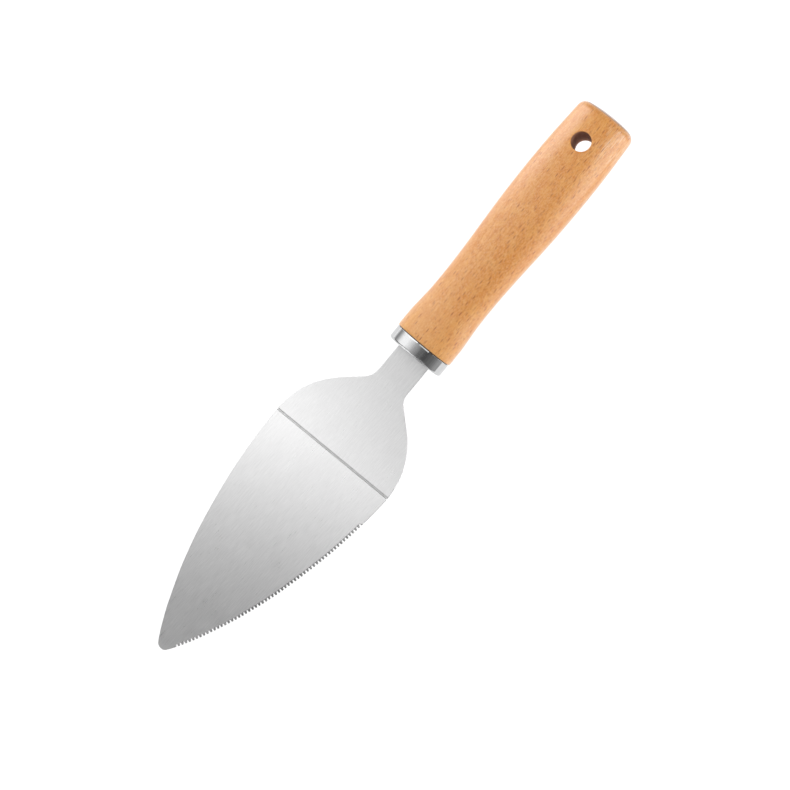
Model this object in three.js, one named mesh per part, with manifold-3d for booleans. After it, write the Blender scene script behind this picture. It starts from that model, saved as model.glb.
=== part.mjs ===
// Cake and pizza server: one folded stainless sheet (serrated blade, neck and tang), a drawn steel
// ferrule, an oval beech handle with a hanging hole, and the cured adhesive that holds the tang.
// Millimetres. +X runs from the blade's tip towards the butt of the handle, +Y to the plain edge,
// +Z up. The server is posed as it lies on a table, on its tip and on the underside of the ferrule.
import * as THREE from "three";
import { mergeVertices } from "three/addons/utils/BufferGeometryUtils.js";
import Module from "manifold-3d";

// ---------------------------------------------------------------- driving dimensions
const DEG = Math.PI / 180;

// folded sheet
const SHEET = 1.2; // stainless sheet
const FRONT_LENGTH = 97.9; // tip to the crease, along the front panel
const CREASE_FOLD = 5.0 * DEG; // front panel rises towards the tip, seen from the rear panel
const CREASE_SKEW = 1.7 * DEG; // the crease is pressed this far out of square
const NECK_LENGTH = 48.5; // crease to the front of the ferrule
const TANG_FOLD = 4.9 * DEG; // handle rises from the rear panel
const TANG_FOLD_AHEAD = 1.2; // the neck is set over this far in front of the ferrule
const REAR_BOW = 0.9; // the rear panel rises in a shallow arc, this far below its chord at the middle
const BOW_FACETS = 7;
const NECK_HALF = 7.44;
const TANG_HALF = 5.5; // tang inside the wood
const TANG_END = 62; // end of the tang, from the front of the ferrule
const TANG_KEY = [
  [22, 1.4, 3.0],
  [44, 1.4, 3.0],
]; // notches the adhesive keys into: position, depth, half length

// half width of the front panel: distance from the tip, half width
const FRONT_HALF = [
  [0.0, 0.0],
  [0.06, 0.6],
  [0.2, 1.13],
  [0.45, 1.61],
  [0.8, 1.97],
  [1.31, 2.38],
  [1.96, 2.84],
  [2.71, 3.32],
  [3.62, 3.85],
  [4.62, 4.46],
  [5.83, 5.15],
  [7.24, 5.91],
  [9.04, 6.87],
  [11.05, 7.88],
  [13.57, 9.08],
  [16.58, 10.37],
  [20.1, 11.88],
  [24.12, 13.53],
  [28.14, 15.07],
  [32.16, 16.44],
  [36.18, 17.74],
  [40.2, 18.95],
  [45.22, 20.3],
  [50.25, 21.49],
  [55.27, 22.63],
  [60.3, 23.67],
  [65.32, 24.59],
  [70.35, 25.41],
  [75.37, 26.08],
  [80.4, 26.65],
  [84.42, 27.03],
  [88.44, 27.34],
  [92.46, 27.59],
  [97.9, 27.78],
];
// half width of the rear panel: distance behind the crease, half width
const REAR_HALF = [
  [0, 27.78],
  [1.5, 27.76],
  [3.0, 27.63],
  [4.5, 27.45],
  [6.0, 27.22],
  [8.0, 26.88],
  [10.0, 26.43],
  [12.0, 25.81],
  [14.0, 24.93],
  [16.0, 23.84],
  [18.0, 22.53],
  [20.0, 21.06],
  [22.0, 19.38],
  [24.0, 17.39],
  [26.0, 15.18],
  [28.0, 12.88],
  [30.0, 10.65],
  [31.5, 9.25],
  [33.0, 8.3],
  [34.5, 7.74],
  [36.0, 7.48],
  [38.0, 7.44],
];

// serration along the edge on the -Y side
const TOOTH_PITCH = 1.488;
const TOOTH_COUNT = 57;
const GULLET_MOUTH = 0.78; // width of a gullet at the edge
const GULLET_FLOOR = 0.36; // and at its floor
const GULLET_DEPTH = 0.95;
const GULLET_LEAN = 7 * DEG; // the gullets lean towards the tip
const SERRATION_FROM = 4.3; // first gullet, distance from the tip

// ferrule
const OVAL_RATIO = 0.66; // thickness over width of every oval section
const OVAL_POWER = 2.3; // superellipse exponent
const FERRULE_HALF = 12.3;
const FERRULE_LENGTH = 5.5;
const FERRULE_WALL = 0.6;
const FERRULE_PLATE = 0.8; // front plate
const FERRULE_CORNER = 0.85; // rounded corner between plate and wall

// handle
const HANDLE_LENGTH = 116.2; // front of the ferrule to the butt
const GAP = 0.3; // between pieces that touch
// half width of the wood behind the ferrule: distance from the front of the ferrule, half width
const WOOD_HALF = [
  [5.8, 12.48],
  [6.4, 12.55],
  [9, 12.56],
  [12.2, 12.53],
  [15, 12.4],
  [17.9, 12.18],
  [20.8, 11.94],
  [23.7, 11.76],
  [29.4, 11.62],
  [35.2, 11.65],
  [40.9, 11.8],
  [46.7, 12.03],
  [52.4, 12.32],
  [58.2, 12.64],
  [63.9, 12.92],
  [69.7, 13.14],
  [75.4, 13.27],
  [81.2, 13.33],
  [86.9, 13.33],
  [92.7, 13.26],
  [98.5, 13.09],
  [104.2, 12.82],
  [110.4, 12.48],
];
const BUTT_ROUND = 3.4; // rounding of the butt's rim, along the handle
const BUTT_DOME = 0.8; // crown of the butt face
const BUTT_FLAT_HALF = 9.0; // half width of the crowned face
const SPIGOT_FRONT = FERRULE_PLATE + GAP; // front of the wood, inside the ferrule

const SLOT_HALF_WIDTH = 6.9; // slot in the wood for the tang
const SLOT_HALF_HEIGHT = 1.7;
const SLOT_END = 64;
const HOLE_AT = 101.3; // hanging hole, from the front of the ferrule
const HOLE_SIDE = 0.9; // drilled this far off the centre line
const HOLE_RADIUS = 3.85;

// ---------------------------------------------------------------- helpers
const wasm = await Module();
wasm.setup();

function toManifold(geometry) {
  const g = geometry.clone();
  for (const name of Object.keys(g.attributes))
    if (name !== "position") g.deleteAttribute(name);
  const m = mergeVertices(g, 1e-4);
  return new wasm.Manifold(
    new wasm.Mesh({
      numProp: 3,
      vertProperties: new Float32Array(m.attributes.position.array),
      triVerts: new Uint32Array(m.index.array),
    }),
  );
}

function toGeometry(manifold) {
  const m = manifold.getMesh();
  const g = new THREE.BufferGeometry();
  const v = new Float32Array(m.numVert * 3);
  for (let i = 0; i < m.numVert; i++)
    v.set(m.vertProperties.subarray(i * m.numProp, i * m.numProp + 3), i * 3);
  g.setAttribute("position", new THREE.BufferAttribute(v, 3));
  g.setIndex(new THREE.BufferAttribute(new Uint32Array(m.triVerts), 1));
  g.computeVertexNormals();
  return g;
}

// A smooth curve through a table of pairs, without overshoot (monotone cubic).
function table(pairs) {
  const n = pairs.length;
  const d = [];
  const t = new Array(n);
  for (let i = 0; i < n - 1; i++)
    d.push((pairs[i + 1][1] - pairs[i][1]) / (pairs[i + 1][0] - pairs[i][0]));
  t[0] = d[0];
  t[n - 1] = d[n - 2];
  for (let i = 1; i < n - 1; i++)
    t[i] = d[i - 1] * d[i] <= 0 ? 0 : (2 * d[i - 1] * d[i]) / (d[i - 1] + d[i]);
  return (x) => {
    if (x <= pairs[0][0]) return pairs[0][1];
    if (x >= pairs[n - 1][0]) return pairs[n - 1][1];
    let i = 0;
    while (x > pairs[i + 1][0]) i++;
    const h = pairs[i + 1][0] - pairs[i][0];
    const u = (x - pairs[i][0]) / h;
    return (
      (1 + 2 * u) * (1 - u) * (1 - u) * pairs[i][1] +
      u * (1 - u) * (1 - u) * h * t[i] +
      u * u * (3 - 2 * u) * pairs[i + 1][1] +
      u * u * (u - 1) * h * t[i + 1]
    );
  };
}

// One oval section of the ferrule or the wood, as points (y, z) around +X.
function oval(half, ratio, segments) {
  const points = [];
  for (let i = 0; i < segments; i++) {
    const a = ((i + 0.5) / segments) * 2 * Math.PI; // facets, not corners, on the four axes
    const c = Math.cos(a);
    const s = Math.sin(a);
    points.push([
      half * Math.sign(c) * Math.abs(c) ** (2 / OVAL_POWER),
      half * ratio * Math.sign(s) * Math.abs(s) ** (2 / OVAL_POWER),
    ]);
  }
  return points;
}

// A closed body through a list of sections { x, ring } along +X, each ring with as many points.
function loft(sections) {
  const n = sections[0].ring.length;
  const position = [];
  const index = [];
  for (const { x, ring } of sections)
    for (const [y, z] of ring) position.push(x, y, z);
  for (let k = 0; k < sections.length - 1; k++)
    for (let i = 0; i < n; i++) {
      const a = k * n + i;
      const b = k * n + ((i + 1) % n);
      index.push(a, b, a + n, b, b + n, a + n);
    }
  const first = position.length / 3;
  position.push(sections[0].x, 0, 0);
  const lastSection = sections[sections.length - 1];
  position.push(lastSection.apex ?? lastSection.x, 0, 0);
  const base = (sections.length - 1) * n;
  for (let i = 0; i < n; i++) {
    index.push(first, (i + 1) % n, i);
    index.push(first + 1, base + i, base + ((i + 1) % n));
  }
  const g = new THREE.BufferGeometry();
  g.setAttribute(
    "position",
    new THREE.BufferAttribute(new Float32Array(position), 3),
  );
  g.setIndex(index);
  // faces point out when the rings turn against the loft direction
  const volume = signedVolume(position, index);
  if (volume < 0)
    for (let i = 0; i < index.length; i += 3)
      [index[i + 1], index[i + 2]] = [index[i + 2], index[i + 1]];
  g.setIndex(index);
  return g;
}

function signedVolume(p, index) {
  let v = 0;
  for (let i = 0; i < index.length; i += 3) {
    const [a, b, c] = [index[i] * 3, index[i + 1] * 3, index[i + 2] * 3];
    v +=
      p[a] * (p[b + 1] * p[c + 2] - p[b + 2] * p[c + 1]) -
      p[a + 1] * (p[b] * p[c + 2] - p[b + 2] * p[c]) +
      p[a + 2] * (p[b] * p[c + 1] - p[b + 1] * p[c]);
  }
  return v / 6;
}

function box(x0, x1, hy, hz) {
  return new THREE.BoxGeometry(x1 - x0, 2 * hy, 2 * hz).translate(
    (x0 + x1) / 2,
    0,
    0,
  );
}

// ---------------------------------------------------------------- blade, neck and tang
// The flat pattern in developed length u (0 at the crease) and width y, in panels that share their
// fold lines: front, the facets of the rear with the neck, and tang.
const foldTang = NECK_LENGTH - TANG_FOLD_AHEAD;
const frontHalf = table(FRONT_HALF);
const rearHalf = table(REAR_HALF);
const outline = (u) => (u < 0 ? frontHalf(FRONT_LENGTH + u) : rearHalf(u));

// where a line c behind the crease and parallel to it meets the plain edge, on the +Y side, and the
// serrated edge, on the -Y side
const lineAt = (side, c) => {
  let u = c;
  for (let i = 0; i < 12; i++)
    u = (c - side * outline(u) * Math.sin(CREASE_SKEW)) / Math.cos(CREASE_SKEW);
  return [u, side * outline(u)];
};
const creaseAt = (side) => lineAt(side, 0);
const creasePlain = creaseAt(1);
const creaseSerrated = creaseAt(-1);

// plain edge of the front panel, from the crease to the tip, on the +Y side
const plainEdge = [];
for (let i = FRONT_HALF.length - 1; i > 0; i--) {
  const u = FRONT_HALF[i][0] - FRONT_LENGTH;
  if (u < creasePlain[0] - 0.4) plainEdge.push([u, FRONT_HALF[i][1]]);
}

// serrated edge, from the tip to the crease, on the -Y side, as a fine polyline first
function serratedEdge() {
  const fine = [];
  for (let d = 0; d < FRONT_LENGTH; d += 0.05) fine.push([d, frontHalf(d)]);
  fine.push([FRONT_LENGTH, frontHalf(FRONT_LENGTH)]);
  const arc = [0];
  for (let i = 1; i < fine.length; i++)
    arc.push(
      arc[i - 1] +
        Math.hypot(fine[i][0] - fine[i - 1][0], fine[i][1] - fine[i - 1][1]),
    );
  const at = (s) => {
    let i = 1;
    while (i < arc.length - 1 && arc[i] < s) i++;
    const f = (s - arc[i - 1]) / (arc[i] - arc[i - 1]);
    const p = [0, 1].map((k) => fine[i - 1][k] + f * (fine[i][k] - fine[i - 1][k]));
    const t = [fine[i][0] - fine[i - 1][0], fine[i][1] - fine[i - 1][1]];
    const len = Math.hypot(...t);
    return { p, t: [t[0] / len, t[1] / len] };
  };
  let start = 0;
  while (fine[start][0] < SERRATION_FROM) start++;
  const out = [];
  for (const [d, h] of FRONT_HALF)
    if (d > 0 && d < SERRATION_FROM - 0.6) out.push([d, h]);
  let s = arc[start];
  for (let k = 0; k < TOOTH_COUNT; k++, s += TOOTH_PITCH) {
    const a = at(s - GULLET_MOUTH / 2);
    const b = at(s + GULLET_MOUTH / 2);
    const m = at(s);
    // inward direction, leaning towards the tip at the mouth
    const inward = [m.t[1], -m.t[0]];
    const lean = [
      inward[0] * Math.cos(GULLET_LEAN) + m.t[0] * Math.sin(GULLET_LEAN),
      inward[1] * Math.cos(GULLET_LEAN) + m.t[1] * Math.sin(GULLET_LEAN),
    ];
    const floor = [
      m.p[0] + lean[0] * GULLET_DEPTH,
      m.p[1] + lean[1] * GULLET_DEPTH,
    ];
    out.push(a.p);
    out.push([
      floor[0] - (m.t[0] * GULLET_FLOOR) / 2,
      floor[1] - (m.t[1] * GULLET_FLOOR) / 2,
    ]);
    out.push([
      floor[0] + (m.t[0] * GULLET_FLOOR) / 2,
      floor[1] + (m.t[1] * GULLET_FLOOR) / 2,
    ]);
    out.push(b.p);
  }
  const last = out[out.length - 1][0];
  for (const [d, h] of FRONT_HALF)
    if (d > last + 0.4 && d < FRONT_LENGTH) out.push([d, h]);
  return out.map(([d, h]) => [d - FRONT_LENGTH, -h]);
}

const frontPanel = [
  creasePlain,
  ...plainEdge,
  [-FRONT_LENGTH, 0],
  ...serratedEdge(),
  [0, -outline(0)],
  creaseSerrated,
];
// the rear panel's arc is made of flat facets between lines parallel to the crease; the last one
// ends at the fold in front of the ferrule
const stations = [];
for (let k = 0; k < BOW_FACETS; k++) stations.push((foldTang * k) / BOW_FACETS);
const rearFacets = stations.map((c, k) => {
  const last = k === BOW_FACETS - 1;
  const side = (s) => {
    const a = lineAt(s, c);
    const b = last ? [foldTang, s * NECK_HALF] : lineAt(s, stations[k + 1]);
    const between = REAR_HALF.filter(([x]) => x > a[0] + 0.4 && x < b[0] - 0.4);
    return [a, ...between.map(([x, h]) => [x, s * h]), b];
  };
  return [...side(-1), ...side(1).reverse()];
});
// the tang steps in behind the ferrule's plate, carries two pairs of notches and ends rounded
const tangStep = NECK_LENGTH + 2.6;
const tangSide = [
  [tangStep, NECK_HALF],
  [tangStep + 1.2, TANG_HALF],
];
for (const [at, depth, halfLength] of TANG_KEY) {
  tangSide.push([NECK_LENGTH + at - halfLength, TANG_HALF]);
  tangSide.push([NECK_LENGTH + at - halfLength + depth, TANG_HALF - depth]);
  tangSide.push([NECK_LENGTH + at + halfLength - depth, TANG_HALF - depth]);
  tangSide.push([NECK_LENGTH + at + halfLength, TANG_HALF]);
}
for (const a of [0, 15, 30, 45, 60, 75, 90])
  tangSide.push([
    NECK_LENGTH + TANG_END - TANG_HALF + TANG_HALF * Math.sin(a * DEG),
    TANG_HALF * Math.cos(a * DEG),
  ]);
const tangPanel = [
  [foldTang, -NECK_HALF],
  ...tangSide.map(([x, h]) => [x, -h]),
  ...tangSide
    .slice(0, -1)
    .reverse()
    .map(([x, h]) => [x, h]),
  [foldTang, NECK_HALF],
];

// Folded position of a point of the flat pattern; side is +1 on the upper face, -1 below.
// Points on a fold line lie on the mitre between the two panels, so both faces stay flat.
const sag = (c) => -4 * REAR_BOW * (c / foldTang) * (1 - c / foldTang);
const ends = [...stations, foldTang];
const facetAngle = stations.map((c, k) =>
  Math.atan2(sag(ends[k + 1]) - sag(c), ends[k + 1] - c),
);
// offset from the mid sheet on the mitre between two panels that rise by the angles a and b
function mitre(a, b, h) {
  const t = h / Math.cos((b - a) / 2);
  return [-Math.sin((a + b) / 2) * t, Math.cos((a + b) / 2) * t];
}
function folded(u, y, side) {
  const h = (side * SHEET) / 2;
  const eps = 1e-4;
  // across the crease, towards the tip, and along it
  const [mx, my] = [-Math.cos(CREASE_SKEW), -Math.sin(CREASE_SKEW)];
  const across = u * mx + y * my;
  const along = u * my - y * mx;
  const place = (out, up) => [my * along + mx * out, -mx * along + my * out, up];
  if (across > eps)
    return place(
      across * Math.cos(CREASE_FOLD) - h * Math.sin(CREASE_FOLD),
      across * Math.sin(CREASE_FOLD) + h * Math.cos(CREASE_FOLD),
    );
  if (Math.abs(u - foldTang) <= eps) {
    const [dx, dz] = mitre(facetAngle[BOW_FACETS - 1], TANG_FOLD, h);
    return [foldTang + dx, y, dz];
  }
  if (u < foldTang) {
    const c = -across;
    for (let k = 0; k < BOW_FACETS; k++)
      if (Math.abs(c - stations[k]) <= eps) {
        const before = k === 0 ? -CREASE_FOLD : facetAngle[k - 1];
        const [dc, dz] = mitre(before, facetAngle[k], h);
        return place(-stations[k] - dc, sag(stations[k]) + dz);
      }
    let k = 0;
    while (k < BOW_FACETS - 1 && c > stations[k + 1]) k++;
    const [dc, dz] = mitre(facetAngle[k], facetAngle[k], h);
    const f = (c - stations[k]) / (ends[k + 1] - stations[k]);
    return place(-c - dc, sag(stations[k]) * (1 - f) + sag(ends[k + 1]) * f + dz);
  }
  const v = u - foldTang;
  return [
    foldTang + v * Math.cos(TANG_FOLD) - h * Math.sin(TANG_FOLD),
    y,
    v * Math.sin(TANG_FOLD) + h * Math.cos(TANG_FOLD),
  ];
}

function foldedSheet(panels) {
  const ids = new Map();
  const flat = [];
  const id = (p) => {
    const key = p[0].toFixed(5) + "," + p[1].toFixed(5);
    if (!ids.has(key)) {
      ids.set(key, flat.length);
      flat.push(p);
    }
    return ids.get(key);
  };
  const faces = [];
  const edges = new Map(); // outline edges: those that only one panel has
  for (const panel of panels) {
    const contour = panel.map(([u, y]) => new THREE.Vector2(u, y));
    if (THREE.ShapeUtils.isClockWise(contour)) contour.reverse();
    const k = contour.map((c) => id([c.x, c.y]));
    for (const [a, b, c] of THREE.ShapeUtils.triangulateShape(contour, []))
      faces.push([k[a], k[b], k[c]]);
    for (let i = 0; i < k.length; i++) {
      const a = k[i];
      const b = k[(i + 1) % k.length];
      const back = b + ">" + a;
      if (edges.has(back)) edges.delete(back);
      else edges.set(a + ">" + b, [a, b]);
    }
  }
  const n = flat.length;
  const position = [];
  for (const [u, y] of flat) position.push(...folded(u, y, 1));
  for (const [u, y] of flat) position.push(...folded(u, y, -1));
  const index = [];
  for (const [a, b, c] of faces) {
    index.push(a, b, c);
    index.push(c + n, b + n, a + n);
  }
  for (const [a, b] of edges.values()) index.push(a, a + n, b, b, a + n, b + n);
  if (signedVolume(position, index) < 0)
    for (let i = 0; i < index.length; i += 3)
      [index[i + 1], index[i + 2]] = [index[i + 2], index[i + 1]];
  const g = new THREE.BufferGeometry();
  g.setAttribute(
    "position",
    new THREE.BufferAttribute(new Float32Array(position), 3),
  );
  g.setIndex(index);
  g.computeVertexNormals();
  return g;
}

const bladeGeometry = foldedSheet([frontPanel, ...rearFacets, tangPanel]);

// ---------------------------------------------------------------- ferrule
// In the handle's own frame: +X along the handle from the front of the ferrule, +Z its upper side.
function roundedFront(half, ratio, radius, end, steps, segments) {
  const sections = [];
  for (let i = 0; i <= steps; i++) {
    const a = (i / steps) * 90 * DEG;
    const x = radius * (1 - Math.cos(a));
    const inset = radius * (1 - Math.sin(a));
    const h = half - inset;
    sections.push({ x, ring: oval(h, (half * ratio - inset) / h, segments) });
  }
  sections.push({ x: end, ring: oval(half, ratio, segments) });
  return sections;
}

const innerHalf = FERRULE_HALF - FERRULE_WALL;
const innerRatio = (FERRULE_HALF * OVAL_RATIO - FERRULE_WALL) / innerHalf;
let ferruleSolid = toManifold(
  loft(
    roundedFront(
      FERRULE_HALF,
      OVAL_RATIO,
      FERRULE_CORNER,
      FERRULE_LENGTH,
      4,
      56,
    ),
  ),
);
ferruleSolid = ferruleSolid.subtract(
  toManifold(
    loft([
      { x: FERRULE_PLATE, ring: oval(innerHalf, innerRatio, 56) },
      { x: FERRULE_LENGTH + 2, ring: oval(innerHalf, innerRatio, 56) },
    ]),
  ),
);
ferruleSolid = ferruleSolid.subtract(
  toManifold(box(-3, 3, NECK_HALF + GAP, SHEET / 2 + GAP)),
);
const ferruleGeometry = toGeometry(ferruleSolid);

// ---------------------------------------------------------------- wooden handle
const woodHalf = table(WOOD_HALF);
const SEG = 56;
const spigotHalf = innerHalf - GAP;
const spigotRatio = (innerHalf * innerRatio - GAP) / spigotHalf;
const shoulder = FERRULE_LENGTH + GAP;
const woodSections = [
  { x: SPIGOT_FRONT, ring: oval(spigotHalf, spigotRatio, SEG) },
  { x: shoulder, ring: oval(spigotHalf, spigotRatio, SEG) },
  { x: shoulder, ring: oval(woodHalf(shoulder), OVAL_RATIO, SEG) },
];
for (const x of [
  6.4, 9, 13, 17, 20.5, 24, 29, 34, 40, 46, 52, 58, 64, 70, 76, 82, 88, 94, 99,
  103, 107, 110.5,
])
  woodSections.push({ x, ring: oval(woodHalf(x), OVAL_RATIO, SEG) });
const rimStart = HANDLE_LENGTH - BUTT_DOME - BUTT_ROUND;
const rimHalf = woodHalf(rimStart);
woodSections.push({ x: rimStart, ring: oval(rimHalf, OVAL_RATIO, SEG) });
for (let i = 1; i <= 6; i++) {
  const a = (i / 6) * 82 * DEG;
  const x = rimStart + BUTT_ROUND * Math.sin(a);
  const inset = (rimHalf - BUTT_FLAT_HALF) * (1 - Math.cos(a));
  const h = rimHalf - inset;
  woodSections.push({
    x,
    ring: oval(h, (rimHalf * OVAL_RATIO - inset * 0.85) / h, SEG),
  });
}
const face = woodSections[woodSections.length - 1];
const faceHalf = Math.max(...face.ring.map(([y]) => y));
const faceThick = Math.max(...face.ring.map(([, z]) => z));
for (const f of [0.72, 0.36]) {
  woodSections.push({
    x: face.x + (HANDLE_LENGTH - face.x) * (1 - f * f),
    ring: oval(faceHalf * f, faceThick / faceHalf, SEG),
  });
}
woodSections[woodSections.length - 1].apex = HANDLE_LENGTH;

let woodSolid = toManifold(loft(woodSections));
woodSolid = woodSolid.subtract(
  toManifold(box(-5, SLOT_END, SLOT_HALF_WIDTH, SLOT_HALF_HEIGHT)),
);
// wider mouth of the slot, for the full width of the neck
woodSolid = woodSolid.subtract(
  toManifold(box(-5, 5.0, NECK_HALF + GAP + 0.15, SLOT_HALF_HEIGHT)),
);
woodSolid = woodSolid.subtract(
  toManifold(
    new THREE.CylinderGeometry(HOLE_RADIUS, HOLE_RADIUS, 40, 40)
      .rotateX(Math.PI / 2)
      .translate(HOLE_AT, HOLE_SIDE, 0),
  ),
);
const woodGeometry = toGeometry(woodSolid);

// ---------------------------------------------------------------- adhesive around the tang
// A sleeve in the slot, with the tang's clearance through it; it begins behind the step of the tang.
const glueFrom = tangStep + 1.2 - NECK_LENGTH + 0.6;
let glueSolid = toManifold(
  box(glueFrom, SLOT_END - GAP, SLOT_HALF_WIDTH - GAP, SLOT_HALF_HEIGHT - GAP),
);
glueSolid = glueSolid.subtract(
  toManifold(
    box(-5, TANG_END + GAP, TANG_HALF + GAP, SHEET / 2 + GAP),
  ),
);
const glueGeometry = toGeometry(glueSolid);

// ---------------------------------------------------------------- assembly
const steel = (color, roughness) =>
  new THREE.MeshStandardMaterial({ color, roughness, metalness: 1 });

const blade = new THREE.Mesh(bladeGeometry, steel(0xd3d4d5, 0.34));
blade.name = "blade";
const ferrule = new THREE.Mesh(ferruleGeometry, steel(0xdcdddf, 0.12));
ferrule.name = "ferrule";
const handle = new THREE.Mesh(
  woodGeometry,
  new THREE.MeshStandardMaterial({
    color: 0xd99c62,
    roughness: 0.5,
    metalness: 0,
  }),
);
handle.name = "handle";
const adhesive = new THREE.Mesh(
  glueGeometry,
  new THREE.MeshStandardMaterial({
    color: 0xc7ab72,
    roughness: 0.35,
    metalness: 0,
  }),
);
adhesive.name = "tang_adhesive";

// The handle group sits on the tang: its axis is the middle of the tang's thickness.
const grip = new THREE.Group();
grip.add(ferrule, handle, adhesive);
grip.rotation.y = -TANG_FOLD;
grip.position.set(
  foldTang + TANG_FOLD_AHEAD * Math.cos(TANG_FOLD),
  0,
  TANG_FOLD_AHEAD * Math.sin(TANG_FOLD),
);

const server = new THREE.Group();
server.add(blade, grip);

// Lay it down: turn it about Y until the tip and the underside of the grip reach the same level,
// then bring that level to Z = 0 and the middle of its length and width to the origin.
function lay(group) {
  const low = (pitch) => {
    group.rotation.y = pitch;
    group.updateMatrixWorld(true);
    let front = Infinity;
    let rear = Infinity;
    const v = new THREE.Vector3();
    for (const mesh of [blade, ferrule, handle]) {
      const p = mesh.geometry.attributes.position;
      for (let i = 0; i < p.count; i++) {
        v.fromBufferAttribute(p, i).applyMatrix4(mesh.matrixWorld);
        if (mesh === blade) front = Math.min(front, v.z);
        else rear = Math.min(rear, v.z);
      }
    }
    return front - rear;
  };
  let a = -20 * DEG;
  let b = 20 * DEG;
  const signA = Math.sign(low(a));
  for (let i = 0; i < 60; i++) {
    const m = (a + b) / 2;
    if (Math.sign(low(m)) === signA) a = m;
    else b = m;
  }
  group.rotation.y = (a + b) / 2;
  group.updateMatrixWorld(true);
  const bounds = new THREE.Box3();
  const v = new THREE.Vector3();
  for (const mesh of [blade, ferrule, handle]) {
    const p = mesh.geometry.attributes.position;
    for (let i = 0; i < p.count; i++)
      bounds.expandByPoint(
        v.fromBufferAttribute(p, i).applyMatrix4(mesh.matrixWorld),
      );
  }
  group.position.set(
    -(bounds.min.x + bounds.max.x) / 2,
    -(bounds.min.y + bounds.max.y) / 2,
    -bounds.min.z,
  );
}

const root = new THREE.Group();
root.add(server);
lay(server);
root.updateMatrixWorld(true);

export default root;
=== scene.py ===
"""Looks of the cake and pizza server: brushed folded sheet with a ground serration, polished ferrule,
oiled beech handle with a hanging hole. Lengths in the code are millimetres until they go into a mesh."""

import math

import bmesh
import bpy
import numpy as np
from mathutils import Matrix, Vector


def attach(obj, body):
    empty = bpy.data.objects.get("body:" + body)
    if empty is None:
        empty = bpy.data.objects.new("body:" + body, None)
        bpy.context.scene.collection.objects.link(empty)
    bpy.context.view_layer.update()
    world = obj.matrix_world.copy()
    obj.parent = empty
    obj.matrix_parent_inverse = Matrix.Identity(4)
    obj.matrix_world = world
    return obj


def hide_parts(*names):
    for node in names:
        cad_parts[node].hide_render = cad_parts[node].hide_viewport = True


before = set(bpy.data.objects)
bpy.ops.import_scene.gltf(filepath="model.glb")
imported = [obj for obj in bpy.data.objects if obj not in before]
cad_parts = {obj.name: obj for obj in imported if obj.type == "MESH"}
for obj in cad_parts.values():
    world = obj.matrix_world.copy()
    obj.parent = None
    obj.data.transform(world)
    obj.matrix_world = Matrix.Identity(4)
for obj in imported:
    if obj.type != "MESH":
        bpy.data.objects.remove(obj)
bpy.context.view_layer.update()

MM = 0.001
DEG = math.pi / 180
scene = bpy.context.scene

# ---------------------------------------------------------------- dimensions, as in the CAD model
SHEET = 1.2
FRONT_LENGTH = 97.9
CREASE_FOLD = 5.0 * DEG
CREASE_SKEW = 1.7 * DEG
NECK_LENGTH = 48.5
TANG_FOLD = 4.9 * DEG
TANG_FOLD_AHEAD = 1.2
FOLD_TANG = NECK_LENGTH - TANG_FOLD_AHEAD
NECK_HALF = 7.44
TANG_HALF = 5.5
TANG_END = 62.0
TANG_KEY = [(22, 1.4, 3.0), (44, 1.4, 3.0)]
FRONT_HALF = [
    (0.0, 0.0), (0.06, 0.6), (0.2, 1.13), (0.45, 1.61), (0.8, 1.97), (1.31, 2.38), (1.96, 2.84),
    (2.71, 3.32), (3.62, 3.85), (4.62, 4.46), (5.83, 5.15), (7.24, 5.91), (9.04, 6.87), (11.05, 7.88),
    (13.57, 9.08), (16.58, 10.37), (20.1, 11.88), (24.12, 13.53), (28.14, 15.07), (32.16, 16.44),
    (36.18, 17.74), (40.2, 18.95), (45.22, 20.3), (50.25, 21.49), (55.27, 22.63), (60.3, 23.67),
    (65.32, 24.59), (70.35, 25.41), (75.37, 26.08), (80.4, 26.65), (84.42, 27.03), (88.44, 27.34),
    (92.46, 27.59), (97.9, 27.78),
]
REAR_HALF = [
    (0, 27.78), (1.5, 27.76), (3.0, 27.63), (4.5, 27.45), (6.0, 27.22), (8.0, 26.88), (10.0, 26.43),
    (12.0, 25.81), (14.0, 24.93), (16.0, 23.84), (18.0, 22.53), (20.0, 21.06), (22.0, 19.38),
    (24.0, 17.39), (26.0, 15.18), (28.0, 12.88), (30.0, 10.65), (31.5, 9.25), (33.0, 8.3), (34.5, 7.74),
    (36.0, 7.48), (38.0, 7.44),
]
TOOTH_PITCH = 1.488
TOOTH_COUNT = 57
GULLET_MOUTH = 0.78
GULLET_FLOOR = 0.36
GULLET_DEPTH = 0.95
GULLET_LEAN = 7 * DEG
SERRATION_FROM = 4.3
OVAL_RATIO = 0.66
OVAL_POWER = 2.3
FERRULE_HALF = 12.3
FERRULE_LENGTH = 5.5
FERRULE_WALL = 0.6
FERRULE_PLATE = 0.8
FERRULE_CORNER = 0.85
HANDLE_LENGTH = 116.2
GAP = 0.3
WOOD_HALF = [
    (5.8, 12.48), (6.4, 12.55), (9, 12.56), (12.2, 12.53), (15, 12.4), (17.9, 12.18), (20.8, 11.94),
    (23.7, 11.76), (29.4, 11.62), (35.2, 11.65), (40.9, 11.8), (46.7, 12.03), (52.4, 12.32),
    (58.2, 12.64), (63.9, 12.92), (69.7, 13.14), (75.4, 13.27), (81.2, 13.33), (86.9, 13.33),
    (92.7, 13.26), (98.5, 13.09), (104.2, 12.82), (110.4, 12.48), (113.0, 12.33),
]
BUTT_ROUND = 3.4
BUTT_DOME = 0.8
BUTT_FLAT_HALF = 9.0
SPIGOT_FRONT = FERRULE_PLATE + GAP
SLOT_HALF_WIDTH = 6.9
SLOT_HALF_HEIGHT = 1.7
SLOT_END = 64.0
HOLE_AT = 101.3
HOLE_SIDE = 0.9
HOLE_RADIUS = 3.85

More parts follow.
